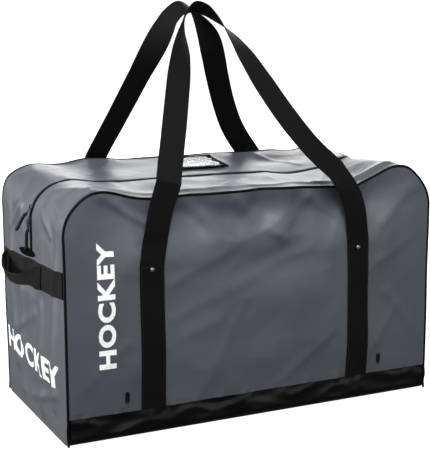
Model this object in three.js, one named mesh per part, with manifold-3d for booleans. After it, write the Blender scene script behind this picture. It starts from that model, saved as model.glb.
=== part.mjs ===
// Hockey equipment bag: a box-shaped duffel of coated fabric with piped front and rear panels, a zipped top that
// runs down both ends, two long webbing carry handles and a grab handle at each end.
// Millimetres. X runs along the bag, -Y is the front, +Z is up, and the origin is the middle of the underside.
import * as THREE from "three";
import { mergeVertices } from "three/addons/utils/BufferGeometryUtils.js";
import Module from "manifold-3d";

const wasm = await Module();
wasm.setup();

// ---- Body of the bag ----
const LENGTH = 820;
const WIDTH = 400;
const HEIGHT = 486;
const CORNER_RADIUS = 76; // rounded top corners of the front, rear and gusset
const SHEET = 2; // coated fabric with its lining
const SEAM_GAP = 0.4; // between pieces that are sewn edge to edge
const BASE_SEAM = 55; // height of the base wrap on the front and rear
const BASE_EDGE_RADIUS = 18;
const BOARD_THICKNESS = 3;
const BOARD_MARGIN = 8;
const ARC_STEPS = 10;
const LOOSE_FIT = 0.3; // between pieces that move or that lie loosely on each other
const PAST = 8; // how far a cutting solid reaches past the face that it cuts
const LAP = 0.5; // how far joined solids reach into each other

// ---- Piping ----
const PIPING_RADIUS = 2.4;
const PIPING_INSET = 1; // centre of the cord behind the two faces that it joins

// ---- Zip ----
const LANE_HALF = 7; // from the middle of the zip to the edge of the fabric
const ZIP_DROP = 74; // straight stretch of the zip below the rounded corner on each end
const TAPE_HALF = 17;
const TAPE_THICKNESS = 0.8;
const ZIP_SPLIT = 1; // half of the gap between the two coils
const COIL_WIDTH = 3;
const COIL_DEPTH = 1.8;
const COIL_TO_TAPE = 0.3;
const END_TAB = { width: 100, height: 15, shift: 22, thickness: 2 };

// ---- Zip sliders, links and pull tabs ----
const SLIDER = { length: 16, width: 9, plate: 1.6, post: 0.6, postInset: 1, clearance: 1 };
const BRIDGE = { outer: 5, inner: 3.6, width: 2, rise: 4.6, beam: 1.2 };
const LINK = { length: 18, half: 4.4, wire: 0.8, lift: 2.3 };
const PULL = { length: 48, width: 6.4, thickness: 2.2, eye: 1.25, wall: 1, taper: 12 };
const UPPER_SLIDER_ANGLE = 21; // degrees up the corner from level
const LOWER_SLIDER_DROP = 1; // below the start of the rounded corner
const UPPER_PULL_LEAN = 26; // degrees that the pull tabs lean to the rear
const LOWER_PULL_LEAN = 8;

// ---- Carry handles ----
const WEBBING = 51;
const WEBBING_THICKNESS = 2.2;
const LEG_SPACING = 466; // between the two legs of one handle where they are sewn
const FREE_LENGTH = 155; // from the end of the sewing up to the shoulder
const SHOULDER_RISE = 14; // shoulder, where the handle turns inward, above the top edge
const HANDLE_CLEARANCE = 0.5; // free webbing clear of the piping
const LOOP_GAP = 2; // between the two carry loops where they meet
const FOLD_GAP = 0.3; // each side of a line where the webbing folds
const RIVET = { radius: 4.8, dome: 1.7, shank: 1.5, hole: 1.9, below: 10, flange: 1.1, flangeRadius: 3.8 };
const RIVET_CAP = [[1, 0], [0.94, 0.5], [0.6, 0.85], [0, 1]]; // shares of its radius and of its dome

// ---- End grab handles ----
const GRAB_FRONT_DROP = 18; // middle of the strap at the front piping, below the end of the zip
const GRAB_REAR_DROP = 40; // middle of the strap at the rear piping, below the end of the zip
const GRAB_FROM = -82;
const GRAB_TO = 160;
const GRAB_REACH = 30;
const GRAB_DROOP = 14;
const GRAB_BEND = { inset: 34, share: 0.62 }; // where it bends near each end, and its share of the reach there

// ---- Vents and identity card ----
const VENT = { width: 9, height: 22, rim: 1.9, proud: 1.1, spacing: 576, level: 86 };
const CARD_POCKET = { left: -64, right: 56, front: 50, rear: 164, border: 8, thickness: 1.7 };
const CARD = { thickness: 0.5, lift: 0.4, fit: 0.4, showing: 2 };
const WINDOW_THICKNESS = 0.4;

// ---- Values that follow ----
const halfL = LENGTH / 2;
const halfW = WIDTH / 2;
const cornerX = halfL - CORNER_RADIUS; // centre of the corner arcs
const cornerZ = HEIGHT - CORNER_RADIUS;
const zipEnd = cornerZ - ZIP_DROP;
const shoulder = HEIGHT + SHOULDER_RISE;
const freeStart = shoulder - FREE_LENGTH;
const panelInset = PIPING_INSET + PIPING_RADIUS + SEAM_GAP; // fabric's edge beside the piping
const tapeDepth = SHEET + SEAM_GAP; // outer face of the tape below the fabric's outer face
const coilRecess = tapeDepth - COIL_TO_TAPE - COIL_DEPTH; // top of the coil below the same face
const webbingFace = halfW + SEAM_GAP; // inner face of the sewn webbing
const freeMiddle = halfW - PIPING_INSET + PIPING_RADIUS + HANDLE_CLEARANCE + WEBBING_THICKNESS / 2;
const legX = LEG_SPACING / 2;

// ---- Materials ----
function finish(color, roughness, metalness = 0) {
  return new THREE.MeshStandardMaterial({ color, roughness, metalness });
}
const greyFabric = finish(0x62666c, 0.5);
const blackFabric = finish(0x2b2c30, 0.75);
const webbingBlack = finish(0x1d1d1f, 0.85);
const blackPlastic = finish(0x17181a, 0.55);
const nickel = finish(0x8b8a86, 0.35, 0.9);
const clearFilm = finish(0xdadde0, 0.15);
const paper = finish(0xf0f0ee, 0.9);

const bag = new THREE.Group();

function piece(name, geometry, material, parent = bag) {
  const mesh = new THREE.Mesh(geometry, material);
  mesh.name = name;
  parent.add(mesh);
  return mesh;
}

// ---- Solids ----
function solid(geometry) {
  const bare = geometry.clone();
  bare.deleteAttribute("normal");
  bare.deleteAttribute("uv");
  const merged = mergeVertices(bare, 1e-4);
  return new wasm.Manifold(
    new wasm.Mesh({
      numProp: 3,
      vertProperties: new Float32Array(merged.attributes.position.array),
      triVerts: new Uint32Array(merged.index.array),
    }),
  );
}

function geometryOf(made) {
  const mesh = made.getMesh();
  const geometry = new THREE.BufferGeometry();
  geometry.setAttribute("position", new THREE.BufferAttribute(new Float32Array(mesh.vertProperties), 3));
  geometry.setIndex(new THREE.BufferAttribute(new Uint32Array(mesh.triVerts), 1));
  return geometry;
}

function cut(geometry, tools) {
  return geometryOf(tools.reduce((body, tool) => body.subtract(solid(tool)), solid(geometry)));
}

function join(parts) {
  return geometryOf(parts.slice(1).reduce((body, part) => body.add(solid(part)), solid(parts[0])));
}

function block(low, high) {
  const size = high.map((value, axis) => value - low[axis]);
  const middle = high.map((value, axis) => (value + low[axis]) / 2);
  return new THREE.BoxGeometry(...size).translate(...middle);
}

// A shape drawn in X and Z, extruded between two Y values.
function alongY(shape, y0, y1) {
  const geometry = new THREE.ExtrudeGeometry(shape, { depth: y1 - y0, bevelEnabled: false, curveSegments: 8 });
  return geometry.rotateX(Math.PI / 2).translate(0, y1, 0);
}

// A shape drawn in Y and Z, extruded between two X values.
function alongX(shape, x0, x1) {
  const geometry = new THREE.ExtrudeGeometry(shape, { depth: x1 - x0, bevelEnabled: false, curveSegments: 8 });
  const turn = new THREE.Matrix4().makeBasis(
    new THREE.Vector3(0, 1, 0),
    new THREE.Vector3(0, 0, 1),
    new THREE.Vector3(1, 0, 0),
  );
  return geometry.applyMatrix4(turn).translate(x0, 0, 0);
}

function arc(cx, cy, radius, fromDegrees, toDegrees, steps = ARC_STEPS) {
  const points = [];
  for (let i = 0; i <= steps; i++) {
    const angle = THREE.MathUtils.degToRad(fromDegrees + ((toDegrees - fromDegrees) * i) / steps);
    points.push(new THREE.Vector2(cx + radius * Math.cos(angle), cy + radius * Math.sin(angle)));
  }
  return points;
}

// A section carried along a row of frames, closed at both ends. Each frame holds at, and the directions u and v.
// The first half of the section's sides is split into triangles one way and the second half the other way, so the
// two wide faces of twisted webbing are split alike and keep their distance.
function sweep(frames, section) {
  const positions = [];
  for (const { at, u, v } of frames) {
    for (const [a, b] of section) {
      positions.push(at.x + a * u.x + b * v.x, at.y + a * u.y + b * v.y, at.z + a * u.z + b * v.z);
    }
  }
  const sides = section.length;
  const last = (frames.length - 1) * sides;
  const index = [];
  for (let row = 0; row < frames.length - 1; row++) {
    for (let side = 0; side < sides; side++) {
      const a = row * sides + side;
      const b = row * sides + ((side + 1) % sides);
      if (side < sides / 2) index.push(a, b, b + sides, a, b + sides, a + sides);
      else index.push(a, b, a + sides, b, b + sides, a + sides);
    }
  }
  for (let side = 1; side < sides - 1; side++) {
    index.push(0, side + 1, side);
    index.push(last, last + side, last + side + 1);
  }
  const geometry = new THREE.BufferGeometry();
  geometry.setAttribute("position", new THREE.BufferAttribute(new Float32Array(positions), 3));
  geometry.setIndex(index);
  return geometry;
}

function flatSection(width, thickness) {
  const a = width / 2;
  const b = thickness / 2;
  return [[-a, -b], [a, -b], [a, b], [-a, b]];
}

// Flat webbing along a smooth line that keeps one direction across its width.
function straightRibbon(points, across, width, thickness, steps) {
  const line = new THREE.CatmullRomCurve3(points.map((p) => new THREE.Vector3(...p)), false, "centripetal");
  const frames = [];
  for (let i = 0; i <= steps; i++) {
    const v = line.getTangent(i / steps).cross(across).normalize();
    frames.push({ at: line.getPoint(i / steps), u: across, v });
  }
  return sweep(frames, flatSection(width, thickness));
}

// ---- Front and rear panels, with their piping ----
function panelOutline(inset, low) {
  const radius = CORNER_RADIUS - inset;
  return new THREE.Shape([
    new THREE.Vector2(-halfL + inset, low),
    new THREE.Vector2(halfL - inset, low),
    ...arc(cornerX, cornerZ, radius, 0, 90),
    ...arc(-cornerX, cornerZ, radius, 90, 180),
  ]);
}

function ventShape(width, height, cx, cz) {
  const straight = (height - width) / 2;
  return new THREE.Shape([
    ...arc(cx, cz + straight, width / 2, 0, 180, 8),
    ...arc(cx, cz - straight, width / 2, 180, 360, 8),
  ]);
}

function ventPlaces() {
  return [["left", -VENT.spacing / 2], ["right", VENT.spacing / 2]];
}

function legPlaces() {
  return [["left", -legX], ["right", legX]];
}

function rivetHole(x, front) {
  const hole = new THREE.CylinderGeometry(RIVET.hole, RIVET.hole, 20, 12);
  return hole.translate(x, front * halfW, freeStart - RIVET.below);
}

function pipingRun(side) {
  const y = side * (halfW - PIPING_INSET);
  const radius = CORNER_RADIUS - PIPING_INSET;
  const route = [
    new THREE.Vector2(halfL - PIPING_INSET, PIPING_RADIUS),
    ...arc(cornerX, cornerZ, radius, 0, 90),
    ...arc(-cornerX, cornerZ, radius, 90, 180),
    new THREE.Vector2(-halfL + PIPING_INSET, PIPING_RADIUS),
  ];
  const frames = route.map((point, i) => {
    const before = route[Math.max(i - 1, 0)];
    const after = route[Math.min(i + 1, route.length - 1)];
    const tangent = new THREE.Vector3(after.x - before.x, 0, after.y - before.y).normalize();
    const across = new THREE.Vector3(0, 1, 0);
    return { at: new THREE.Vector3(point.x, y, point.y), u: across, v: tangent.cross(across) };
  });
  const section = arc(0, 0, PIPING_RADIUS, 0, 315, 7).map((p) => [p.x, p.y]);
  return sweep(frames, section);
}

for (const [place, side] of [["front", -1], ["rear", 1]]) {
  const outer = side * halfW;
  const inner = side * (halfW - SHEET);
  const low = Math.min(outer, inner);
  const panel = alongY(panelOutline(panelInset, BASE_SEAM + SEAM_GAP), low, low + SHEET);
  const ventHoles = ventPlaces().map(([, x]) =>
    alongY(ventShape(VENT.width - VENT.rim, VENT.height - VENT.rim, x, VENT.level), outer - PAST, outer + PAST));
  const holes = legPlaces().map(([, x]) => rivetHole(x, side));
  piece(place + "_panel", cut(panel, [...ventHoles, ...holes]), greyFabric);
  piece(place + "_piping", pipingRun(side), blackPlastic);
}

// ---- Ends and the rounded corners of the gusset ----
const gussetHalf = halfW - panelInset;

function endPanel() {
  const radius = BASE_EDGE_RADIUS - panelInset;
  const bottom = SEAM_GAP;
  return new THREE.Shape([
    ...arc(-gussetHalf + radius, bottom + radius, radius, 180, 270, 5),
    ...arc(gussetHalf - radius, bottom + radius, radius, 270, 360, 5),
    new THREE.Vector2(gussetHalf, zipEnd - SEAM_GAP),
    new THREE.Vector2(-gussetHalf, zipEnd - SEAM_GAP),
  ]);
}

// The strip between two depths below the gusset's outer face, from a height up over the corner.
function cornerStrip(side, low, outerDepth, innerDepth) {
  const outer = arc(0, cornerZ, CORNER_RADIUS - outerDepth, 0, 90);
  const inner = arc(0, cornerZ, CORNER_RADIUS - innerDepth, 90, 0);
  const points = [
    new THREE.Vector2(CORNER_RADIUS - outerDepth, low),
    ...outer,
    ...inner,
    new THREE.Vector2(CORNER_RADIUS - innerDepth, low),
  ];
  return new THREE.Shape(points.map((p) => new THREE.Vector2(side * (p.x + cornerX), p.y)));
}

function between(side, near, far) {
  return side < 0 ? [-far, -near] : [near, far];
}

for (const [end, sideX] of [["left", -1], ["right", 1]]) {
  const faces = [sideX * halfL, sideX * (halfL - SHEET)].sort((a, b) => a - b);
  piece(end + "_end_panel", alongX(endPanel(), ...faces), greyFabric);
  for (const [place, sideY] of [["front", -1], ["rear", 1]]) {
    const name = place + "_" + end;
    const corner = cornerStrip(sideX, zipEnd, 0, SHEET);
    piece(name + "_corner_gusset", alongY(corner, ...between(sideY, LANE_HALF, gussetHalf)), greyFabric);
    const tape = cornerStrip(sideX, zipEnd, tapeDepth, tapeDepth + TAPE_THICKNESS);
    piece(name + "_zip_tape", alongY(tape, ...between(sideY, ZIP_SPLIT, TAPE_HALF)), blackFabric);
    const coil = cornerStrip(sideX, zipEnd, coilRecess, coilRecess + COIL_DEPTH);
    piece(name + "_zip_coil", alongY(coil, ...between(sideY, ZIP_SPLIT, ZIP_SPLIT + COIL_WIDTH)), blackPlastic);
  }
  const tabFace = halfL + SEAM_GAP;
  const tabX = [sideX * tabFace, sideX * (tabFace + END_TAB.thickness)].sort((a, b) => a - b);
  const tabY = END_TAB.shift - END_TAB.width / 2;
  const tabLow = [tabX[0], tabY, zipEnd];
  const tabHigh = [tabX[1], tabY + END_TAB.width, zipEnd + END_TAB.height];
  piece(end + "_zip_end_tab", block(tabLow, tabHigh), blackFabric);
}

// ---- Top flaps, with the zip between them ----
const flapHalf = cornerX - SEAM_GAP;
for (const [place, side] of [["front", -1], ["rear", 1]]) {
  const strip = (near, far, depth, thickness) => {
    const [y0, y1] = between(side, near, far);
    return block([-flapHalf, y0, HEIGHT - depth - thickness], [flapHalf, y1, HEIGHT - depth]);
  };
  piece(place + "_top_flap", strip(LANE_HALF, gussetHalf, 0, SHEET), greyFabric);
  piece(place + "_top_zip_tape", strip(ZIP_SPLIT, TAPE_HALF, tapeDepth, TAPE_THICKNESS), blackFabric);
  piece(place + "_top_zip_coil", strip(ZIP_SPLIT, ZIP_SPLIT + COIL_WIDTH, coilRecess, COIL_DEPTH), blackPlastic);
}

// ---- Base ----
const baseHalfL = halfL - SHEET - SEAM_GAP;

function wrapProfile(inset) {
  const radius = BASE_EDGE_RADIUS - inset;
  const middle = halfW - BASE_EDGE_RADIUS;
  return [
    new THREE.Vector2(-halfW + inset, BASE_SEAM),
    ...arc(-middle, BASE_EDGE_RADIUS, radius, 180, 270, 6),
    ...arc(middle, BASE_EDGE_RADIUS, radius, 270, 360, 6),
    new THREE.Vector2(halfW - inset, BASE_SEAM),
  ];
}

// The wrap stops beside the piping, which runs down its ends.
function pipingSlots() {
  const reach = PIPING_RADIUS + SEAM_GAP + PIPING_INSET;
  const slots = [];
  for (const sideX of [-1, 1]) {
    for (const sideY of [-1, 1]) {
      const x = [sideX * (halfL - reach), sideX * (halfL + 1)].sort((a, b) => a - b);
      const y = [sideY * (halfW - reach), sideY * (halfW + 1)].sort((a, b) => a - b);
      slots.push(block([x[0], y[0], -1], [x[1], y[1], BASE_SEAM + 1]));
    }
  }
  return slots;
}

const wrapShape = new THREE.Shape([...wrapProfile(0), ...wrapProfile(SHEET).reverse()]);
piece("base_wrap", cut(alongX(wrapShape, -baseHalfL, baseHalfL), pipingSlots()), blackFabric);
const boardHalfL = baseHalfL - BOARD_MARGIN;
const boardHalfW = halfW - BASE_EDGE_RADIUS;
const boardLow = SHEET + SEAM_GAP;
piece(
  "base_board",
  block([-boardHalfL, -boardHalfW, boardLow], [boardHalfL, boardHalfW, boardLow + BOARD_THICKNESS]),
  blackPlastic,
);

// ---- Carry handles ----
// Middle line of one handle from shoulder to shoulder, in its own leaning plane, as it stands held above the bag.
// rise is above the shoulder. turn is about the webbing's own line: 0 lies in the plane, 90 stands across it.
const LOOP_STATIONS = [
  { x: -200, rise: -14, turn: 0 },
  { x: -194, rise: 8, turn: 0 },
  { x: -162, rise: 95, turn: 0 },
  { x: -128, rise: 190, turn: 6 },
  { x: -109, rise: 242, turn: 28 },
  { x: -94, rise: 284, turn: 62 },
  { x: -84, rise: 309, turn: 80 },
  { x: -64, rise: 327, turn: 90 },
  { x: -38, rise: 322, turn: 98 },
  { x: -12, rise: 300, turn: 116 },
  { x: 12, rise: 268, turn: 140 },
  { x: 33, rise: 228, turn: 162 },
  { x: 58, rise: 174, turn: 176 },
  { x: 92, rise: 108, turn: 180 },
  { x: 128, rise: 52, turn: 180 },
  { x: 169, rise: 6, turn: 180 },
  { x: 190, rise: -14, turn: 180 },
];
const LOOP_STEPS = 80;

// Middle line of a free leg, from the end of the sewing to the shoulder.
const FREE_STATIONS = {
  left: [{ x: -230, above: 35 }, { x: -212, above: 105 }, { x: -197, above: FREE_LENGTH - FOLD_GAP }],
  right: [{ x: 231, above: 35 }, { x: 212, above: 95 }, { x: 174, above: FREE_LENGTH - FOLD_GAP }],
};

function freeRoute(hand, x, level) {
  const stations = [{ x, above: FOLD_GAP }, ...FREE_STATIONS[hand]];
  return stations.map((s) => [s.x, level, freeStart + s.above]);
}

const loopReach = freeMiddle - (WEBBING + LOOP_GAP) / 2; // how far in the top of a loop stands

function turnAt(place) {
  const first = Math.min(Math.floor(place), LOOP_STATIONS.length - 2);
  const degrees = THREE.MathUtils.lerp(LOOP_STATIONS[first].turn, LOOP_STATIONS[first + 1].turn, place - first);
  return THREE.MathUtils.degToRad(degrees);
}

// The webbing twists half a turn on its way over, as it does when both handles are held together.
function carryLoop(side) {
  const top = Math.max(...LOOP_STATIONS.map((s) => s.rise));
  const points = LOOP_STATIONS.map((s) => new THREE.Vector3(
    s.x,
    side * (freeMiddle - (s.rise / top) * loopReach),
    shoulder + s.rise,
  ));
  const line = new THREE.CatmullRomCurve3(points, false, "centripetal");
  const normal = new THREE.Vector3(0, top, side * loopReach).normalize();
  const frames = [];
  for (let i = 0; i <= LOOP_STEPS; i++) {
    const share = i / LOOP_STEPS;
    const tangent = line.getTangent(share);
    const turn = turnAt(share * (LOOP_STATIONS.length - 1));
    const across = tangent.clone().cross(normal).multiplyScalar(side * Math.cos(turn));
    across.addScaledVector(normal, Math.sin(turn)).normalize();
    frames.push({ at: line.getPoint(share), u: across, v: tangent.clone().cross(across) });
  }
  return sweep(frames, flatSection(WEBBING, WEBBING_THICKNESS));
}

function rivet(x, side) {
  const outside = webbingFace + WEBBING_THICKNESS + LOOSE_FIT;
  const inside = halfW - SHEET - LOOSE_FIT;
  const profile = [
    [0, inside - RIVET.flange],
    [RIVET.flangeRadius, inside - RIVET.flange],
    [RIVET.flangeRadius, inside],
    [RIVET.shank, inside],
    [RIVET.shank, outside],
    ...RIVET_CAP.map(([share, rise]) => [RIVET.radius * share, outside + RIVET.dome * rise]),
  ].map(([r, h]) => new THREE.Vector2(r, h));
  const geometry = new THREE.LatheGeometry(profile, 16);
  if (side < 0) geometry.rotateX(Math.PI);
  return geometry.translate(x, 0, freeStart - RIVET.below);
}

for (const [place, side] of [["front", -1], ["rear", 1]]) {
  for (const [hand, x] of legPlaces()) {
    const name = place + "_" + hand;
    const y = [side * webbingFace, side * (webbingFace + WEBBING_THICKNESS)].sort((a, b) => a - b);
    const sewn = block(
      [x - WEBBING / 2, y[0], BASE_SEAM + SEAM_GAP],
      [x + WEBBING / 2, y[1], freeStart - FOLD_GAP],
    );
    piece(name + "_sewn_strap", cut(sewn, [rivetHole(x, side)]), webbingBlack);
    piece(name + "_rivet", rivet(x, side), nickel);
    const route = freeRoute(hand, x, side * freeMiddle);
    const across = new THREE.Vector3(1, 0, 0);
    piece(name + "_free_strap", straightRibbon(route, across, WEBBING, WEBBING_THICKNESS, 8), webbingBlack);
  }
  const below = block([-LENGTH, -WIDTH, 0], [LENGTH, WIDTH, shoulder + FOLD_GAP]);
  piece(place + "_carry_loop", cut(carryLoop(side), [below]), webbingBlack);
}

// ---- Grab handles on the ends ----
function grabHeight(y) {
  return zipEnd - THREE.MathUtils.mapLinear(y, -halfW, halfW, GRAB_FRONT_DROP, GRAB_REAR_DROP);
}

function backingShape() {
  const half = WEBBING / 2;
  const edge = gussetHalf - 1;
  return new THREE.Shape([
    new THREE.Vector2(-edge, grabHeight(-edge) - half),
    new THREE.Vector2(edge, grabHeight(edge) - half),
    new THREE.Vector2(edge, grabHeight(edge) + half),
    new THREE.Vector2(-edge, grabHeight(-edge) + half),
  ]);
}

for (const [end, sideX] of [["left", -1], ["right", 1]]) {
  const face = halfL + SEAM_GAP;
  const faces = [sideX * face, sideX * (face + WEBBING_THICKNESS)].sort((a, b) => a - b);
  const tabSlot = block(
    [sideX * halfL - PAST, END_TAB.shift - END_TAB.width / 2 - SEAM_GAP, zipEnd - SEAM_GAP],
    [sideX * halfL + PAST, END_TAB.shift + END_TAB.width / 2 + SEAM_GAP, zipEnd + WEBBING],
  );
  piece(end + "_grab_backing", cut(alongX(backingShape(), ...faces), [tabSlot]), webbingBlack);
  const start = face + WEBBING_THICKNESS * 1.5 + SEAM_GAP;
  const middle = (GRAB_FROM + GRAB_TO) / 2;
  const reach = [
    [GRAB_FROM, 0],
    [GRAB_FROM + GRAB_BEND.inset, GRAB_BEND.share],
    [middle, 1],
    [GRAB_TO - GRAB_BEND.inset, GRAB_BEND.share],
    [GRAB_TO, 0],
  ];
  const route = reach.map(([y, share]) => [
    sideX * (start + GRAB_REACH * share),
    y,
    grabHeight(y) - GRAB_DROOP * share,
  ]);
  const across = new THREE.Vector3(0, 0, 1);
  piece(end + "_grab_loop", straightRibbon(route, across, WEBBING, WEBBING_THICKNESS, 16), webbingBlack);
}

// ---- Vents ----
for (const [place, side] of [["front", -1], ["rear", 1]]) {
  for (const [hand, x] of ventPlaces()) {
    const flangeFace = halfW + LOOSE_FIT;
    const flangeY = [side * flangeFace, side * (flangeFace + VENT.proud)].sort((a, b) => a - b);
    const neckY = [side * (halfW - SHEET), side * (flangeFace + LAP)].sort((a, b) => a - b);
    const shape = (grow) => ventShape(VENT.width - grow, VENT.height - grow, x, VENT.level);
    const flange = alongY(shape(0), ...flangeY);
    const neck = alongY(shape(VENT.rim + 2 * LOOSE_FIT), ...neckY);
    const bore = alongY(shape(2 * VENT.rim), side * halfW - PAST, side * halfW + PAST);
    piece(place + "_" + hand + "_vent", cut(join([flange, neck]), [bore]), blackPlastic);
  }
}

// ---- Identity card pocket on the rear flap ----
const pocket = CARD_POCKET;
const pocketFloor = HEIGHT + CARD.lift;
const pocketRim = new THREE.Shape([
  new THREE.Vector2(pocket.left, pocket.front),
  new THREE.Vector2(pocket.right, pocket.front),
  new THREE.Vector2(pocket.right, pocket.rear),
  new THREE.Vector2(pocket.left, pocket.rear),
  new THREE.Vector2(pocket.left, pocket.rear - pocket.border),
  new THREE.Vector2(pocket.right - pocket.border, pocket.rear - pocket.border),
  new THREE.Vector2(pocket.right - pocket.border, pocket.front + pocket.border),
  new THREE.Vector2(pocket.left, pocket.front + pocket.border),
]);
const rim = new THREE.ExtrudeGeometry(pocketRim, { depth: pocket.thickness, bevelEnabled: false });
piece("card_pocket_rim", rim.translate(0, 0, pocketFloor), blackFabric);
const insideLow = [pocket.left + CARD.showing, pocket.front + pocket.border + CARD.fit];
const insideHigh = [pocket.right - pocket.border - CARD.fit, pocket.rear - pocket.border - CARD.fit];
const windowLow = pocketFloor + CARD.thickness + CARD.fit;
piece(
  "card_window",
  block([...insideLow, windowLow], [...insideHigh, windowLow + WINDOW_THICKNESS]),
  clearFilm,
);
piece("identity_card", block([...insideLow, pocketFloor], [...insideHigh, pocketFloor + CARD.thickness]), paper);

// ---- Zip sliders ----
// Local axes: X up the zip, Y across it and Z out of the bag, from a point on the fabric's outer face.
function sliderBody() {
  const { length, width, plate, post, postInset, clearance } = SLIDER;
  const top = clearance - coilRecess;
  const bottom = -(tapeDepth + TAPE_THICKNESS + clearance);
  const half = length / 2;
  const beamLow = top + plate + BRIDGE.rise;
  const parts = [
    block([-half, -width / 2, top], [half, width / 2, top + plate]),
    block([-half, -width / 2, bottom - plate], [half, width / 2, bottom]),
    block([postInset, -post, bottom - LAP], [half - postInset, post, top + LAP]),
    block([-BRIDGE.outer, -BRIDGE.width / 2, beamLow], [BRIDGE.outer, BRIDGE.width / 2, beamLow + BRIDGE.beam]),
  ];
  for (const side of [-1, 1]) {
    const foot = [side * BRIDGE.inner, side * BRIDGE.outer].sort((a, b) => a - b);
    parts.push(block([foot[0], -BRIDGE.width / 2, top + LAP], [foot[1], BRIDGE.width / 2, beamLow + LAP]));
  }
  return join(parts);
}

const linkLevel = SLIDER.clearance - coilRecess + SLIDER.plate + LINK.lift + LINK.wire;

function linkFrame() {
  const { length, half, wire } = LINK;
  const outer = block([-length - wire, -half, -wire], [wire, half, wire]);
  const inner = block([-length + wire, -half + wire, -2 * wire], [-wire, half - wire, 2 * wire]);
  return cut(outer, [inner]).translate(0, 0, linkLevel);
}

function pullTab() {
  const { length, width, thickness, eye, wall, taper } = PULL;
  const outline = new THREE.Shape([
    ...arc(0, 0, eye + wall, 150, -150, 14),
    new THREE.Vector2(-taper, -thickness / 2),
    new THREE.Vector2(-length, -thickness / 2),
    new THREE.Vector2(-length, thickness / 2),
    new THREE.Vector2(-taper, thickness / 2),
  ]);
  outline.holes.push(new THREE.Path(arc(0, 0, eye, 0, 324, 9)));
  return alongY(outline, -width / 2, width / 2).translate(-LINK.length, 0, linkLevel);
}

function sliderSet(name, place, angle, lean) {
  const set = new THREE.Group();
  const turn = THREE.MathUtils.degToRad(angle);
  set.matrix.makeBasis(
    new THREE.Vector3(Math.sin(turn), 0, Math.cos(turn)),
    new THREE.Vector3(0, 1, 0),
    new THREE.Vector3(-Math.cos(turn), 0, Math.sin(turn)),
  );
  set.matrix.setPosition(...place);
  set.matrixAutoUpdate = false;
  piece(name + "_slider", sliderBody(), nickel, set);
  const hanging = new THREE.Group();
  hanging.rotation.z = -THREE.MathUtils.degToRad(lean);
  piece(name + "_slider_link", linkFrame(), nickel, hanging);
  piece(name + "_pull_tab", pullTab(), blackPlastic, hanging);
  set.add(hanging);
  bag.add(set);
}

const upperTurn = THREE.MathUtils.degToRad(UPPER_SLIDER_ANGLE);
const upperPlace = [
  -cornerX - CORNER_RADIUS * Math.cos(upperTurn),
  0,
  cornerZ + CORNER_RADIUS * Math.sin(upperTurn),
];
sliderSet("upper", upperPlace, UPPER_SLIDER_ANGLE, UPPER_PULL_LEAN);
sliderSet("lower", [-halfL, 0, cornerZ - LOWER_SLIDER_DROP], 0, LOWER_PULL_LEAN);

export default bag;
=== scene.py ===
# %% [markdown]
# # A hockey equipment bag
# A hockey bag is a big box of coated tarpaulin, sewn inside out over piping cord, with black webbing
# handles. It has no frame: the stiffness of the cloth and what is packed in it hold its shape. The
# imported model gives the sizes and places, and this notebook makes the cloth, webbing, zip, hard
# parts, stitching and finishes.

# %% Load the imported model
import math

import bpy
from mathutils import Matrix, Vector, noise


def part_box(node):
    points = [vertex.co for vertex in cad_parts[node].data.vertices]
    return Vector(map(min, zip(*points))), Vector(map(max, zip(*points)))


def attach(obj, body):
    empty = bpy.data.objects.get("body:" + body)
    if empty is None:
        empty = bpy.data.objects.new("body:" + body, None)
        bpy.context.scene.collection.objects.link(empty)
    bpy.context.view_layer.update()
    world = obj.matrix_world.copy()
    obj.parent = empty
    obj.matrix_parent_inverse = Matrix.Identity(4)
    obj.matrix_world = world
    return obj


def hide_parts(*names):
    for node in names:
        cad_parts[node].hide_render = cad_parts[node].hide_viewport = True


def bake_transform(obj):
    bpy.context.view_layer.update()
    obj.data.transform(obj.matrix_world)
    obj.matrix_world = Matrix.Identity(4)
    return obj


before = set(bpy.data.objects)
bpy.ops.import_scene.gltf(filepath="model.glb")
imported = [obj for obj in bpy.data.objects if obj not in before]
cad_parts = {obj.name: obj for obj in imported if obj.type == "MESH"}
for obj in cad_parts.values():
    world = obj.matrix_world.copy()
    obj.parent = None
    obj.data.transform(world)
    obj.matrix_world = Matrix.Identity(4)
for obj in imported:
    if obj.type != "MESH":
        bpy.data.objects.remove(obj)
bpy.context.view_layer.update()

MM = 0.001

# %% [markdown]
# ## Sizes
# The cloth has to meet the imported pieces, so its sizes are read from them where one piece gives a
# size by itself. Everything below is in millimetres, and each mesh is brought to metres at the end.

# %% Sizes of the bag
panel_low, panel_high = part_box("front_panel")
wrap_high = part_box("base_wrap")[1]
HALF_W = -panel_low.y / MM
HALF_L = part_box("right_end_panel")[1].x / MM
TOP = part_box("front_top_flap")[1].z / MM
CORNER = HALF_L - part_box("front_top_flap")[1].x / MM - 0.4
ARC_X, ARC_Z = HALF_L - CORNER, TOP - CORNER
SEAM_Z = wrap_high.z / MM
EDGE = HALF_L - panel_high.x / MM
SIDE_Y = HALF_W - EDGE
LANE = 8.5
ZIP_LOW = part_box("front_left_corner_gusset")[0].z / MM
CLOTH = 1.2
FACES = (("front", -1), ("rear", 1))
HANDS = (("left", -1), ("right", 1))
print("half length", round(HALF_L, 1), "half width", round(HALF_W, 1))
print("top", round(TOP, 1), "corner", round(CORNER, 1))

# %% Small helpers
def ease(a, b, t):
    t = min(max((t - a) / (b - a), 0.0), 1.0)
    return t * t * (3 - 2 * t)


def mix(a, b, t):
    return a + (b - a) * t


def deselect():
    if bpy.context.mode != "OBJECT":
        bpy.ops.object.mode_set(mode="OBJECT")
    bpy.ops.object.select_all(action="DESELECT")


def only(obj):
    deselect()
    obj.select_set(True)
    bpy.context.view_layer.objects.active = obj
    return obj


def to_mode(mode):
    bpy.ops.object.mode_set(mode=mode)


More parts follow.
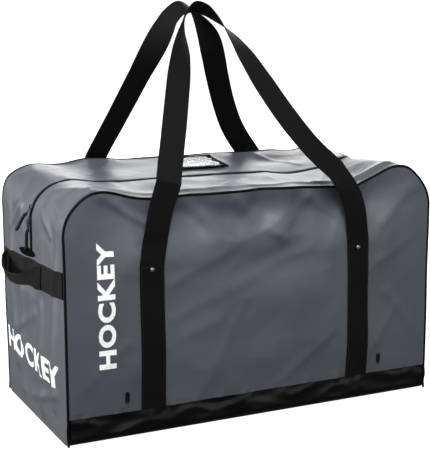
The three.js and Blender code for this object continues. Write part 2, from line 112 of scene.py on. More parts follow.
def pick_faces(obj, wanted):
    """Goes into edit mode with only the wanted faces selected."""
    only(obj)
    to_mode("EDIT")
    bpy.ops.mesh.select_mode(type="FACE")
    bpy.ops.mesh.select_all(action="DESELECT")
    to_mode("OBJECT")
    for polygon in obj.data.polygons:
        polygon.select = wanted(polygon)
    to_mode("EDIT")


def smooth_to_edges(obj, degrees=50):
    only(obj)
    bpy.ops.object.shade_smooth_by_angle(angle=math.radians(degrees))
    return obj


def linked(name, data):
    made = bpy.data.objects.new(name, data)
    bpy.context.scene.collection.objects.link(made)
    return made


def apply_modifier(obj, kind, **settings):
    modifier = only(obj).modifiers.new(kind.title(), kind)
    for key, value in settings.items():
        setattr(modifier, key, value)
    bpy.ops.object.modifier_apply(modifier=modifier.name)


def bevel_all(obj, width, angle=35):
    apply_modifier(obj, "BEVEL", width=width * MM, segments=2, limit_method="ANGLE",
                   angle_limit=math.radians(angle))


# %% [markdown]
# ## How the cloth hangs
# Loose cloth sags between its stiff corners, bulges over the load and creases where it is pulled.
# Cloths simulated apart would come apart at every seam. So one field says where each point of space
# moves, and cloth, piping, zip and sewn straps all go through it: whatever met before still meets
# after.

# %% Folds and dents, in millimetres on each face
DENTS = {  # across, up, half width, half height, depth inward
    "front": [
        (-118, 430, 66, 46, 10), (-10, 425, 60, 38, 8), (92, 436, 70, 50, 8), (190, 424, 60, 44, 9),
        (-190, 452, 34, 34, 9), (276, 438, 40, 40, 8), (30, 330, 120, 46, 6), (-110, 250, 110, 44, 5),
        (-330, 440, 40, 50, 6), (320, 430, 50, 50, 8), (240, 250, 70, 90, 5), (-20, 170, 120, 60, 5),
        (20, 320, 90, 50, 5), (330, 200, 50, 90, 5),
    ],
    "rear": [(60, 430, 110, 34, 6), (-180, 260, 80, 90, 4)],
    "left": [(-120, 395, 45, 30, 5), (90, 200, 60, 90, 4)],
    "right": [(100, 380, 50, 36, 5), (-90, 190, 60, 90, 4)],
    "top": [(-170, -100, 90, 45, 5), (120, -95, 110, 45, 6), (-210, 110, 80, 50, 4), (200, 110, 90, 50, 5)],
}
FOLDS = {  # from, to, half width, height outward
    "front": [
        (-330, 476, -215, 425, 9, 4.0), (-290, 470, -260, 400, 9, 2.4), (380, 455, 300, 380, 12, 4.0),
        (-150, 470, -60, 385, 15, 3.6), (-40, 466, 60, 372, 16, 3.6), (120, 462, 50, 388, 15, 3.0),
        (130, 466, 225, 392, 14, 3.2), (-400, 90, -290, 190, 11, 2.0), (60, 75, 170, 160, 12, 1.4),
        (395, 110, 310, 230, 12, 2.2), (-120, 80, -30, 250, 13, 1.1), (250, 80, 330, 200, 11, 1.6),
        (-190, 300, -60, 360, 12, 1.3), (-190, 230, 120, 345, 14, 1.3), (290, 300, 395, 360, 12, 1.8),
    ],
    "rear": [
        (-380, 460, -290, 400, 8, 2.6), (370, 460, 280, 380, 8, 2.6), (-60, 90, 60, 220, 10, 1.8),
    ],
    "left": [
        (-185, 470, -150, 400, 7, 4.0), (-165, 390, -120, 60, 12, 5.0), (-70, 250, -50, 30, 14, 4.4),
        (-60, 480, -185, 440, 8, 4.5), (60, 255, 80, 40, 14, 4.6), (150, 420, 120, 90, 13, 4.4),
        (60, 440, 140, 380, 9, 3.4), (-30, 225, 110, 165, 11, 3.0), (-150, 90, 20, 40, 11, 3.0),
        (-40, 470, -120, 400, 9, 3.6), (30, 470, 120, 430, 9, 3.2),
    ],
    "right": [
        (-150, 420, -120, 80, 11, 2.2), (40, 250, 60, 40, 12, 2.0), (150, 440, 110, 120, 10, 2.4),
    ],
    "top": [
        (-330, -160, 330, -160, 16, 5.0), (-300, -60, -180, -150, 8, 2.4), (250, -40, 160, -150, 8, 2.4),
        (-374, -40, -340, -190, 10, 2.4), (-380, 60, -350, 180, 12, 1.6), (-260, 60, -170, 180, 8, 2.2),
        (230, 50, 170, 185, 8, 2.4), (-60, -130, 30, -60, 9, 1.8),
    ],
}
print("folds", sum(len(f) for f in FOLDS.values()), "dents", sum(len(d) for d in DENTS.values()))


# %% The drape field
BELLY = 5.0  # bulge of the walls over the load
BROAD_CREASE, FINE_CREASE = (7.0, 120), (1.5, 47)  # height and spacing
SWAY, SWAY_SPACING = 1.5, 130
FALL_IN = 18  # lean of the top edges at the middle
FILL_OUT, FILL_UP = 7, 9  # push of what is packed in the rear corners
BASE_RUMPLE, SEAM_PUCKER = 9.0, 1.2


def segment_distance(x, y, x0, y0, x1, y1):
    dx, dy = x1 - x0, y1 - y0
    t = min(max(((x - x0) * dx + (y - y0) * dy) / (dx * dx + dy * dy), 0.0), 1.0)
    return math.hypot(x - x0 - t * dx, y - y0 - t * dy)


def relief(face, x, y):
    height = 0.0
    for cx, cy, rx, ry, depth in DENTS[face]:
        q = ((x - cx) / rx) ** 2 + ((y - cy) / ry) ** 2
        if q < 6:
            height -= depth * math.exp(-q)
    for *ends, width, lift in FOLDS[face]:
        d = segment_distance(x, y, *ends)
        if d < 3 * width:
            height += lift * math.exp(-((d / width) ** 2))
    return height


def top_drop(x, y):
    ax = abs(x)
    middle = 1 - ease(222, 332, ax)
    corner = ease(265, 335, ax) * (1 - ease(350, 409, ax))
    heavy = 6 * ease(60, 190, x) * middle
    front = -17 * middle - heavy + (12 if x > 0 else 5) * corner
    centre = -10 * middle - heavy + (9 if x > 0 else 2) * corner
    rear = 10 * middle + 7 * ease(135, 230, -x) * middle + (10 if x > 0 else 9) * corner
    return mix(front, centre, (y + HALF_W) / HALF_W) if y < 0 else mix(centre, rear, y / HALF_W)


def beside_card(x, y):
    """0 where the card slides, 1 away from it."""
    across = ease(-160, -130, x) * (1 - ease(62, 90, x))
    return 1 - 0.95 * across * ease(22, 46, y) * (1 - ease(166, 186, y))


def creased(p, height, spacing):
    return height * (0.25 - abs(noise.noise(Vector(p) / spacing)))


def low_seam(p):
    """Outward, for the wrinkles of the base cloth and the puckers along its seam."""
    x, y, z = p
    low_band = ease(3, 16, z) * (1 - ease(SEAM_Z - 12, SEAM_Z, z))
    rumple = BASE_RUMPLE * (0.28 - abs(noise.noise(Vector((x / 85, y / 85, z / 34)))))
    waves = math.sin(x / 5.3 + 3 * noise.noise(Vector(p) / 30)) * noise.noise(Vector(p) / 55) * 2
    pucker = math.exp(-(((z - SEAM_Z) / 9) ** 2)) * SEAM_PUCKER * waves
    return ease(180, 198, abs(y)) * low_band * rumple + ease(180, 198, abs(y)) * pucker


def edge_fall(x):
    """Inward, for the long top edges."""
    return (FALL_IN + 4 * math.sin(x / 23 + 1.2) + 2.2 * math.sin(x / 13)) * (1 - ease(240, 395, abs(x)))


def drape(p):
    x, y, z = p
    up = ease(300, 480, z)
    still = 1 - (1 - ease(12, 60, abs(y))) * ease(250, 285, z) * ease(320, 345, abs(x))
    body = ease(SEAM_Z, 160, z) * (1 - ease(250, 430, z))
    out_y = ease(150, 197, abs(y)) * (1 - (min(abs(x) / 408, 1)) ** 4)
    out_x = ease(360, 408, abs(x)) * (1 - (min(abs(y) / 198, 1)) ** 4)
    side_y, side_x = (-1 if y < 0 else 1), (-1 if x < 0 else 1)
    loose = mix(0.55, 1.5, ease(230, 440, z))
    crumple = (creased(p, *BROAD_CREASE) + creased(p, *FINE_CREASE)) * loose
    off_floor = ease(2, 40, z)
    move = noise.noise_vector(Vector(p) / SWAY_SPACING) * SWAY * off_floor
    face = relief("front" if y < 0 else "rear", x, z) * ease(8, 60, z)
    move.y += side_y * out_y * (BELLY * body + face + crumple * off_floor)
    end = relief("left" if x < 0 else "right", y, z)
    move.x += side_x * out_x * (BELLY * body + (end + crumple) * off_floor)
    on_top = ease(440, 482, z) * ease(4, 40, HALF_L - abs(x))
    move.z += up * top_drop(x, y) * ease(0, 60, HALF_L - abs(x))
    shape = relief("top", x, y) + 0.55 * crumple
    move.z += on_top * shape * ease(0, 14, HALF_W - abs(y)) * beside_card(x, y)
    if abs(y) > 100:
        move.y -= side_y * edge_fall(x) * ease(335, 468, z) * ease(100, 190, abs(y))
    filled = math.exp(-(((abs(x) - 386) / 30) ** 2) - ((z - 456) / 34) ** 2) * ease(30, 180, y)
    move += Vector((side_x * FILL_OUT, 0, FILL_UP)) * filled * (1.5 if x > 0 else 1.1)
    move.y += side_y * low_seam(p)
    moved = Vector(p) + move * still
    moved.z = max(moved.z, min(z, 0.5))
    return moved


print("front edge falls", round(drape((0, -HALF_W, TOP)).z - TOP, 1), "mm at the middle")

# %% [markdown]
# ## Finishes
# A pattern's scale comes from a real size, such as the 2 mm rib of a webbing. Colours are given as a
# colour picker shows them and turned to linear light by one function.

# %% Node helpers
def linear(code):
    channel = [int(code[i : i + 2], 16) / 255 for i in (1, 3, 5)]
    return [c / 12.92 if c <= 0.04045 else ((c + 0.055) / 1.055) ** 2.4 for c in channel] + [1.0]


def add(tree, kind, links=None, **settings):
    node = tree.nodes.new("ShaderNode" + kind)
    for key, value in settings.items():
        if hasattr(node, key):
            setattr(node, key, value)
        else:
            node.inputs[key.replace("_", " ")].default_value = value
    for name, source in (links or {}).items():
        tree.links.new(source, node.inputs[name])
    return node


def start(name, roughness, metallic=0.0, **inputs):
    made = bpy.data.materials.new(name)
    made.use_nodes = True
    tree = made.node_tree
    shader = tree.nodes["Principled BSDF"]
    shader.inputs["Roughness"].default_value = roughness
    shader.inputs["Metallic"].default_value = metallic
    for key, value in inputs.items():
        shader.inputs[key.replace("_", " ")].default_value = value
    return made, tree, shader


def ramp(tree, source, low, high, at=(0.3, 0.7)):
    node = add(tree, "ValToRGB", {0: source})
    node.color_ramp.elements[0].position, node.color_ramp.elements[1].position = at
    node.color_ramp.elements[0].color, node.color_ramp.elements[1].color = linear(low), linear(high)
    return node.outputs["Color"]


def spread(tree, source, low, high):
    return add(tree, "MapRange", {"Value": source}, To_Min=low, To_Max=high).outputs["Result"]


def wave_scale(spacing_mm):
    """A wave texture repeats every 2 pi / 20 of its scale, in metres on these UV maps."""
    return 6.283 / (spacing_mm * MM * 20)


def bump(tree, shader, height, strength, distance, under=None):
    links = {"Height": height}
    if under is not None:
        links["Normal"] = under
    node = add(tree, "Bump", links, Strength=strength, Distance=distance)
    tree.links.new(node.outputs["Normal"], shader.inputs["Normal"])
    return node.outputs["Normal"]


# %% [markdown]
# Tarpaulin is a polyester scrim coated with vinyl. The coat gives a soft gloss, the scrim shows
# through as a fine grid about 1.2 mm apart, and handling leaves cloudy duller patches and small
# scuffs.

# %% Coated tarpaulin
def coated_cloth(name, dark, light, roughness, grid_mm, depth, shine):
    made, tree, shader = start(name, roughness, Specular_IOR_Level=shine)
    place = add(tree, "TexCoord")
    cloud = add(tree, "TexNoise", {"Vector": place.outputs["Object"]}, Scale=9.0, Detail=5.0)
    scuff = add(tree, "TexNoise", {"Vector": place.outputs["Object"]},
                Scale=60.0, Detail=6.0, Roughness=0.7)
    tree.links.new(ramp(tree, cloud.outputs["Fac"], dark, light), shader.inputs["Base Color"])
    worn = add(tree, "Math", {0: cloud.outputs["Fac"], 1: scuff.outputs["Fac"]}, operation="ADD")
    halved = add(tree, "Math", {0: worn.outputs[0]}, operation="MULTIPLY")
    halved.inputs[1].default_value = 0.5
    wear = spread(tree, halved.outputs[0], roughness - 0.08, roughness + 0.12)
    tree.links.new(wear, shader.inputs["Roughness"])
    crease = bump(tree, shader, scuff.outputs["Fac"], 0.25, 0.0012)
    grid = []
    for direction in ("X", "Y"):
        wave = add(tree, "TexWave", {"Vector": place.outputs["UV"]},
                   Scale=wave_scale(grid_mm), bands_direction=direction)
        grid.append(wave.outputs["Fac"])
    weave = add(tree, "Math", {0: grid[0], 1: grid[1]}, operation="MULTIPLY")
    bump(tree, shader, weave.outputs[0], 0.35, depth, under=crease)
    return made


TARPAULIN = coated_cloth("vinyl-coated tarpaulin", "#3f4349", "#44494f", 0.49, 1.2, 0.0001, 0.5)
BASE_CLOTH = coated_cloth("coated base cloth", "#040405", "#08080a", 0.28, 1.6, 0.0002, 0.3)
LINING = start("dark lining cloth", 0.85, Base_Color=linear("#1b1c1e"))[0]


# %% [markdown]
# Webbing is woven polypropylene twill, with slanting ribs 2 mm apart. It is matt, with a slight sheen
# from the smooth yarn.

# %% Webbing and woven tape
TWILL_SLANT = 38


def woven(name, dark, light, roughness, rib_mm, depth, shine, sheen):
    made, tree, shader = start(name, roughness, Specular_IOR_Level=shine, Sheen_Weight=sheen,
                               Sheen_Roughness=0.4)
    place = add(tree, "TexCoord")
    angle = add(tree, "Mapping", {"Vector": place.outputs["UV"]})
    angle.inputs["Rotation"].default_value = (0, 0, math.radians(TWILL_SLANT))
    twill = add(tree, "TexWave", {"Vector": angle.outputs["Vector"]},
                Scale=wave_scale(rib_mm), Distortion=0.6, bands_direction="X")
    cross = add(tree, "TexWave", {"Vector": place.outputs["UV"]},
                Scale=wave_scale(rib_mm), bands_direction="X")
    yarn = add(tree, "Math", {0: twill.outputs["Fac"], 1: cross.outputs["Fac"]},
               operation="MULTIPLY")
    tree.links.new(ramp(tree, yarn.outputs[0], dark, light, (0.0, 1.0)), shader.inputs["Base Color"])
    bump(tree, shader, yarn.outputs[0], 0.8, depth)
    return made


WEBBING = woven("polypropylene twill webbing", "#040404", "#0e0e0f", 0.66, 2.0, 0.0005, 0.08, 0.035)
TAPE = woven("woven polyester zip tape", "#030304", "#0b0b0c", 0.85, 1.2, 0.0002, 0.02, 0.0)


# %% Piping, coil, nickel, plastic, print and film
def speckled(name, dark, light, roughness, grain_mm, depth=0.00005, metallic=0.0, **inputs):
    made, tree, shader = start(name, roughness, metallic, **inputs)
    place = add(tree, "TexCoord")
    grain = add(tree, "TexNoise", {"Vector": place.outputs["Object"]},
                Scale=1 / (grain_mm * MM), Detail=4.0)
    tree.links.new(ramp(tree, grain.outputs["Fac"], dark, light), shader.inputs["Base Color"])
    wear = spread(tree, grain.outputs["Fac"], roughness - 0.1, roughness + 0.12)
    tree.links.new(wear, shader.inputs["Roughness"])
    bump(tree, shader, grain.outputs["Fac"], 0.3, depth)
    return made


PIPING = speckled("extruded vinyl piping", "#050506", "#0a0a0b", 0.42, 4.0, 0.0001, Specular_IOR_Level=0.1)
COIL = speckled("nylon zip coil", "#050506", "#0d0d0e", 0.5, 2.0, Specular_IOR_Level=0.12)
NICKEL = speckled("antique nickel plate", "#6e6b65", "#a9a69e", 0.34, 1.5, metallic=1.0)
ZINC = speckled("black-plated die-cast zinc", "#1c1c1d", "#4b4a48", 0.32, 1.5, metallic=0.9)
ACETAL = speckled("moulded black acetal", "#050506", "#0c0c0d", 0.52, 1.0, Specular_IOR_Level=0.15)
INK = speckled("screen-printed white ink", "#d9dadb", "#f2f2f1", 0.6, 6.0)
THREAD = speckled("bonded nylon thread", "#0d0d0e", "#1c1c1d", 0.6, 0.5)
CARD = speckled("uncoated white card", "#b4b5b3", "#cbcccb", 0.9, 3.0)
FILM = speckled("clear vinyl film", "#a9adb1", "#e4e6e8", 0.14, 20.0, 0.0006, Alpha=0.5, IOR=1.53)
BOARD = speckled("polyethylene board", "#1d1e20", "#2a2b2d", 0.6, 5.0, 0.0001)
print("materials", len(bpy.data.materials))

# %% [markdown]
# ## A flat piece of cloth, laid on its place
# Every cloth part of a bag starts as a flat cut piece. Here that is a grid, one rule says where each
# of its points lies on the bag, and the drape field sags it. Its UV map keeps the flat lengths, in
# metres, to within a tenth, so a pattern follows the cloth round every bend.

# %% Make a laid piece
def laid(name, columns, rows, place, finish, thickness=CLOTH, hang=drape, lining=None, offset=-1.0):
    deselect()
    bpy.ops.mesh.primitive_grid_add(x_subdivisions=columns, y_subdivisions=rows, size=1)
    made = bpy.context.object
    made.name = made.data.name = name
    flat = {}
    for vertex in made.data.vertices:
        u, v = vertex.co.x + 0.5, vertex.co.y + 0.5
        spot, flat[vertex.index] = place(u, v)
        vertex.co = hang(spot) * MM
    layer = made.data.uv_layers.active or made.data.uv_layers.new(name="flat")
    for loop in made.data.loops:
        layer.data[loop.index].uv = [c * MM for c in flat[loop.vertex_index]]
    made.data.materials.append(finish)
    if lining is not None:
        made.data.materials.append(lining)
    if thickness:
        shift = {"material_offset": 1, "material_offset_rim": 1} if lining is not None else {}
        apply_modifier(made, "SOLIDIFY", thickness=thickness * MM, offset=offset, **shift)
    return smooth_to_edges(made)


def lined(made):
    """Gives an open sheet its thickness, with lining inside and coated cloth round the cut edges."""
    made.data.materials.append(LINING)
    apply_modifier(made, "SOLIDIFY", thickness=CLOTH * MM, offset=-1.0, material_offset=1)
    smooth_to_edges(made)


def settle(made, body, slot, *nodes, blend=None):
    if blend:
        [c * MM for c in blend[2]]
        [c * MM for c in blend[3]]
        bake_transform(made)
    else:
        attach(made, body)
    if nodes:
        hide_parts(*nodes)
    return made


# %% Front and rear panels
STRAIGHT = 0.78  # share of the rows below the rounded corners


def arc_limit(z, radius):
    return ARC_X + math.sqrt(max(radius**2 - max(z - ARC_Z, 0) ** 2, 0))


def panel_place(side):
    radius, low = CORNER - EDGE, SEAM_Z + 0.4

    def place(u, v):
        if v < STRAIGHT:
            z = mix(low, ARC_Z, v / STRAIGHT)
        else:
            z = ARC_Z + radius * math.sin((v - STRAIGHT) / (1 - STRAIGHT) * math.pi / 2)
        x = -side * mix(-1, 1, u) * arc_limit(z, radius)
        return (x, side * HALF_W, z), (x, z)

    return place


for face, side in FACES:
    made = laid(face + "_panel_cloth", 200, 116, panel_place(side), TARPAULIN, lining=LINING)
    settle(made, "root", "grey_fabric", face + "_panel")
    print(made.name, len(made.data.vertices), "points")

# %% [markdown]
# Each end is one cut piece that runs up the end and over the rounded corner. The slit for the zip is
# cut out of it afterwards.

# %% End panels
ARC_LENGTH = CORNER * math.pi / 2


def up_the_end(s):
    """Distance up the end from the floor, to x beyond the corner's centre, z, and the outward direction."""
    if s <= ARC_Z:
        return CORNER, s, (1.0, 0.0)
    angle = min((s - ARC_Z) / CORNER, math.pi / 2)
    return CORNER * math.cos(angle), ARC_Z + CORNER * math.sin(angle), (math.cos(angle), math.sin(angle))


def end_columns(u):
    if u < 0.49:
        return mix(-SIDE_Y, -LANE, u / 0.49)
    if u > 0.51:
        return mix(LANE, SIDE_Y, (u - 0.51) / 0.49)
    return mix(-LANE, LANE, (u - 0.49) / 0.02)


ZIP_ROW, LAST_ROW = 0.62, 149 / 150
LAP, LAP_DROP = 1.0, 1.5  # the last row tucks under the cloth it meets


def end_place(side):
    def place(u, v):
        if v <= ZIP_ROW:
            s = mix(0.4, ZIP_LOW, v / ZIP_ROW)
        else:
            s = mix(ZIP_LOW, ARC_Z + ARC_LENGTH, (v - ZIP_ROW) / (LAST_ROW - ZIP_ROW))
        across, z, _ = up_the_end(s)
        if v > LAST_ROW + 0.001:
            across, z = -LAP, z - LAP_DROP
        y = side * end_columns(u)
        if z < 14.6:
            y *= 1 - (14.2 - math.sqrt(max(14.2**2 - (14.6 - z) ** 2, 0))) / SIDE_Y
        return (side * (ARC_X + across), y, z), (y, s)

    return place


for hand, side in HANDS:
    made = laid(hand + "_end_cloth", 100, 150, end_place(side), TARPAULIN, thickness=0)

    def in_slit(polygon, made=made):
        uvs = [made.data.uv_layers.active.data[i].uv for i in polygon.loop_indices]
        across = sum(abs(uv[0]) for uv in uvs) / len(uvs)
        return across < (LANE - 0.5) * MM and min(uv[1] for uv in uvs) > (ZIP_LOW - 1) * MM

    pick_faces(made, in_slit)
    bpy.ops.mesh.delete(type="FACE")
    to_mode("OBJECT")
    lined(made)
    gussets = [f"{face}_{hand}_corner_gusset" for face in ("front", "rear")]
    settle(made, "root", "grey_fabric", hand + "_end_panel", *gussets)
    print(made.name, len(made.data.vertices), "points")

# %% [markdown]
# The base is one black wrap that comes up 55 mm on the front and rear, where the grey cloth is sewn
# on with two rows of stitches. The rows pull the cloth into small puckers, which the drape field
# already holds.

# %% Base wrap
WRAP_R = 18.0
WRAP_HALF_L = wrap_high.x / MM


def wrap_point(s):
    side = -1 if s < 0 else 1
    flat, bend = HALF_W - WRAP_R, WRAP_R * math.pi / 2
    d = abs(s)
    if d <= flat:
        return side * d, 0.0
    if d <= flat + bend:
        a = (d - flat) / WRAP_R
        return side * (flat + WRAP_R * math.sin(a)), WRAP_R * (1 - math.cos(a))
    return side * HALF_W, WRAP_R + d - flat - bend


WRAP_RUN = HALF_W - WRAP_R + WRAP_R * math.pi / 2 + SEAM_Z - WRAP_R


def wrap_place(u, v):
    y, z = wrap_point(mix(-WRAP_RUN, WRAP_RUN, v))
    reach = WRAP_HALF_L - (3.8 if abs(y) > HALF_W - 4 else 0)
    x = mix(reach, -reach, u)
    return (x, y, z), (x, mix(-WRAP_RUN, WRAP_RUN, v))


made = laid("base_wrap_cloth", 200, 120, wrap_place, BASE_CLOTH)
settle(made, "root", "base_fabric", "base_wrap")
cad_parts["base_board"].data.materials.clear()
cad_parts["base_board"].data.materials.append(BOARD)
print(made.name, [round(c, 4) for c in made.dimensions])

# %% [markdown]
# The top is two flaps, front and rear, which fold back when the zip is open. One mesh can bend one way
# only, so each flap is a left and a right half that meet in the middle. A 32 mm hem hangs inside the
# seam, so that an opened flap would show no gap.

# %% Top flaps
SEWN_X, LOOSE_X = ARC_X, 150.0
FLAP_COLUMNS = 85
FLAP_ROWS, HEM_ROWS, HEM = 49, 8, 32.0
HEM_SHARE = FLAP_ROWS / (FLAP_ROWS + HEM_ROWS)


def flap_blend(face, side):
    return ("root", face + "_flap", (side * SEWN_X, 0, TOP), (side * LOOSE_X, 0, TOP))


for face, side_y in FACES:
    for hand, side_x in HANDS:
        columns = FLAP_COLUMNS if side_x < 0 else FLAP_COLUMNS - 1
        lap = 1 / FLAP_COLUMNS if side_x < 0 else 0.0

        def place(u, v, side_y=side_y, side_x=side_x, lap=lap):
            x = side_x * mix(0, ARC_X, max(u - lap, 0) / (1 - lap))
            y = side_y * mix(LANE, SIDE_Y, min(v / HEM_SHARE, 1))
            if v > HEM_SHARE + 0.001:
                past = HEM * (v - HEM_SHARE)
                return (x, y, TOP - past / (1 - HEM_SHARE)), (x, y + side_y * past)
            if side_x < 0 and u < lap / 2:
                return (LAP, y, TOP - LAP_DROP), (x, y)
            return (x, y, TOP), (x, y)

        made = laid(f"{face}_{hand}_flap_cloth", columns, FLAP_ROWS + HEM_ROWS, place, TARPAULIN,
                    thickness=0)
        if side_x * side_y < 0:
            only(made)
            to_mode("EDIT")
            bpy.ops.mesh.select_all(action="SELECT")
            bpy.ops.mesh.flip_normals()
            to_mode("OBJECT")
        lined(made)
        settle(made, None, "grey_fabric", face + "_top_flap", blend=flap_blend(face, side_x))
print("flap halves 4")

# %% [markdown]
# ## The zip
# A zip has a woven tape on each side and a nylon coil sewn along it. The lane is 17 mm wide and dark,
# so what shows is the rib of the coil. The coil is one filament wound flat, because a bump on a strip
# would go flat at the rounded corner.

# %% Tape and coil along the ends and the top
ZIP_END_RUN = ARC_Z + ARC_LENGTH - ZIP_LOW
COIL_PITCH = 2.6


def end_lane(side_x, s, y, depth):
    across, z, out = up_the_end(ZIP_LOW + s)
    return (side_x * (ARC_X + across - depth * out[0]), y, z - depth * out[1])


def top_lane(side_x, s, y, depth):
    return (side_x * s, y, TOP - depth)


def wound_coil(name, spot, side_x, side_y, run):
    points = []
    turns = int(run / COIL_PITCH)
    for i in range(turns * 8 + 1):
        angle = i / 8 * 2 * math.pi
        y = side_y * (2.3 + 2.0 * math.cos(angle))
        s = min(i / (turns * 8) * run + 0.5 * math.cos(angle), run)
        points.append(drape(spot(side_x, s, y, 0.2 + 0.8 * math.sin(angle))) * MM)
    return tube(name, points, 0.55, COIL, 0)


def tube(name, points, radius, finish, rings, closed=False):
    line = bpy.data.curves.new(name, "CURVE")
    line.dimensions, line.bevel_depth, line.bevel_resolution = "3D", radius * MM, rings
    line.use_fill_caps = not closed
    spline = line.splines.new("POLY")
    spline.points.add(len(points) - 1)
    for point, place in zip(spline.points, points):
        point.co = (*place, 1)
    spline.use_cyclic_u = closed
    made = linked(name, line)
    only(made)
    bpy.ops.object.convert(target="MESH")
    made = bpy.context.object
    made.data.materials.clear()
    made.data.materials.append(finish)
    bpy.ops.object.shade_smooth()
    return made


for face, side_y in FACES:
    for hand, side_x in HANDS:
        for where, spot, run in (("end", end_lane, ZIP_END_RUN), ("top", top_lane, ARC_X)):
            def place(u, v, spot=spot, side_x=side_x, side_y=side_y, run=run):
                y = side_y * mix(1, 17, u)
                return spot(side_x, v * run, y, 1.7), (y, v * run)

            tape = laid(f"{face}_{hand}_{where}_tape", 4, int(run / 6), place, TAPE, 0.6, offset=0)
            coil = wound_coil(f"{face}_{hand}_{where}_coil", spot, side_x, side_y, run)
            for made, slot in ((tape, "zip_tape"), (coil, "zip_coil")):
                if where == "end":
                    settle(made, "root", slot, f"{face}_{hand}_{slot}")
                else:
                    settle(made, None, slot, f"{face}_top_{slot}", blend=flap_blend(face, side_x))
print("coil points", len(coil.data.vertices))

# %% [markdown]
# ## Piping
# Piping is a cord wrapped in vinyl and caught in the seam. It outlines the front and rear, and it
# stands a little proud, so it takes the light and wear along every edge.

# %% Piping round the front and rear
def piping_route(side):
    inset, run = 1.0, []
    radius = CORNER - inset
    for side_x in (-1, 1):
        leg = [(side_x * (HALF_L - inset), mix(2.4, ARC_Z, i / 70)) for i in range(70)]
        bend = [(side_x * (ARC_X + radius * math.cos(a)), ARC_Z + radius * math.sin(a))
                for a in (math.pi / 2 * i / 20 for i in range(20))]
        half = leg + bend + [(side_x * mix(ARC_X, 0, i / 60), TOP - inset) for i in range(61)]
        run += half if side_x < 0 else half[::-1][1:]
    return [drape((x, side * (HALF_W - inset), z)) * MM for x, z in run]


for face, side in FACES:
    made = tube(face + "_piping_cord", piping_route(side), 2.7, PIPING, 3)
    settle(made, "root", "piping", face + "_piping")
print("piping points", len(made.data.vertices))

# %% [markdown]
# ## Handles
# The handles are two lengths of 51 mm webbing. Each is sewn up the bag, riveted near the top of the
# sewing, and then free. Webbing is stiff on edge and limp on the flat, so a held handle makes half a
# turn on its way over, and its free parts stay smooth.

# %% A smooth line through chosen points, and webbing along it
def smooth_point(points, share):
    place = (len(points) - 1) * min(max(share, 0), 1)
    i = min(int(place), len(points) - 2)
    p1, p2 = points[i], points[i + 1]
    p0 = points[i - 1] if i else p1 * 2 - p2
    p3 = points[i + 2] if i + 2 < len(points) else p2 * 2 - p1
    d0, d1, d2 = [max((b - a).length, 1e-4) ** 0.5 for a, b in ((p0, p1), (p1, p2), (p2, p3))]
    m1 = ((p1 - p0) / d0 - (p2 - p0) / (d0 + d1) + (p2 - p1) / d1) * d1
    m2 = ((p2 - p1) / d1 - (p3 - p1) / (d1 + d2) + (p3 - p2) / d2) * d1
    w = place - i
    return p1 + m1 * w + (-3 * p1 + 3 * p2 - 2 * m1 - m2) * w**2 + (2 * p1 - 2 * p2 + m1 + m2) * w**3


def still(p):
    return Vector(p)


def webbing(name, rows, spot, hang, width=51.0, thickness=2.2):
    """spot(v) gives the middle, the direction across and the length so far."""
    def place(u, v):
        middle, across, along = spot(v)
        return middle + across * width * (u - 0.5), (width * u, along)

    made = laid(name, 8, rows, place, WEBBING, thickness, hang, offset=0)
    bevel_all(made, 0.5, 50)
    return made


# %% Sewn legs of the handles
STRAP_Y = HALF_W + 1.5
LEG_X, SEW_TOP, SHOULDER = 233.0, 345.0, 500.0

for face, side in FACES:
    for hand, x in (("left", -LEG_X), ("right", LEG_X)):
        def spot(v, x=x, side=side):
            return Vector((x, side * STRAP_Y, mix(SEAM_Z + 0.4, SEW_TOP, v))), Vector((1, 0, 0)), 290 * v

        made = webbing(f"{face}_{hand}_sewn_leg", 60, spot, drape)
        settle(made, "root", "webbing", f"{face}_{hand}_sewn_strap")
print("sewn legs", [round(c, 3) for c in made.dimensions])

# %% Free legs and loops
STATIONS = [  # along the bag, above the shoulder, turn in degrees
    (-200, -14, 0), (-194, 8, 0), (-162, 95, 0), (-128, 190, 6), (-109, 242, 28), (-94, 284, 62),
    (-84, 309, 80), (-64, 327, 90), (-38, 322, 98), (-12, 300, 116), (12, 268, 140), (33, 228, 162),
    (58, 174, 176), (92, 108, 180),
    (128, 52, 180), (169, 6, 180), (190, -14, 180),
]
FREE_Y, PEAK, REACH = 203.4, 327.0, 176.5


def loop_spot(side, share):
    points = [Vector((x, side * (FREE_Y - rise / PEAK * REACH), SHOULDER + rise))
              for x, rise, _ in STATIONS]
    middle = smooth_point(points, share)
    tangent = (smooth_point(points, share + 1e-3) - smooth_point(points, share - 1e-3)).normalized()
    normal = Vector((0, PEAK, side * REACH)).normalized()
    place = share * (len(STATIONS) - 1)
    i = min(int(place), len(STATIONS) - 2)
    turn = math.radians(mix(STATIONS[i][2], STATIONS[i + 1][2], place - i))
    across = tangent.cross(normal) * side * math.cos(turn) + normal * math.sin(turn)
    return middle, across.normalized()


def shoulder_shares(side):
    above = [i / 3000 for i in range(20, 2981) if loop_spot(side, i / 3000)[0].z >= SHOULDER]
    return above[0], above[-1]


def leg_hang(p):
    return Vector(p) + (drape(p) - Vector(p)) * (1 - ease(345, 410, p[2]))


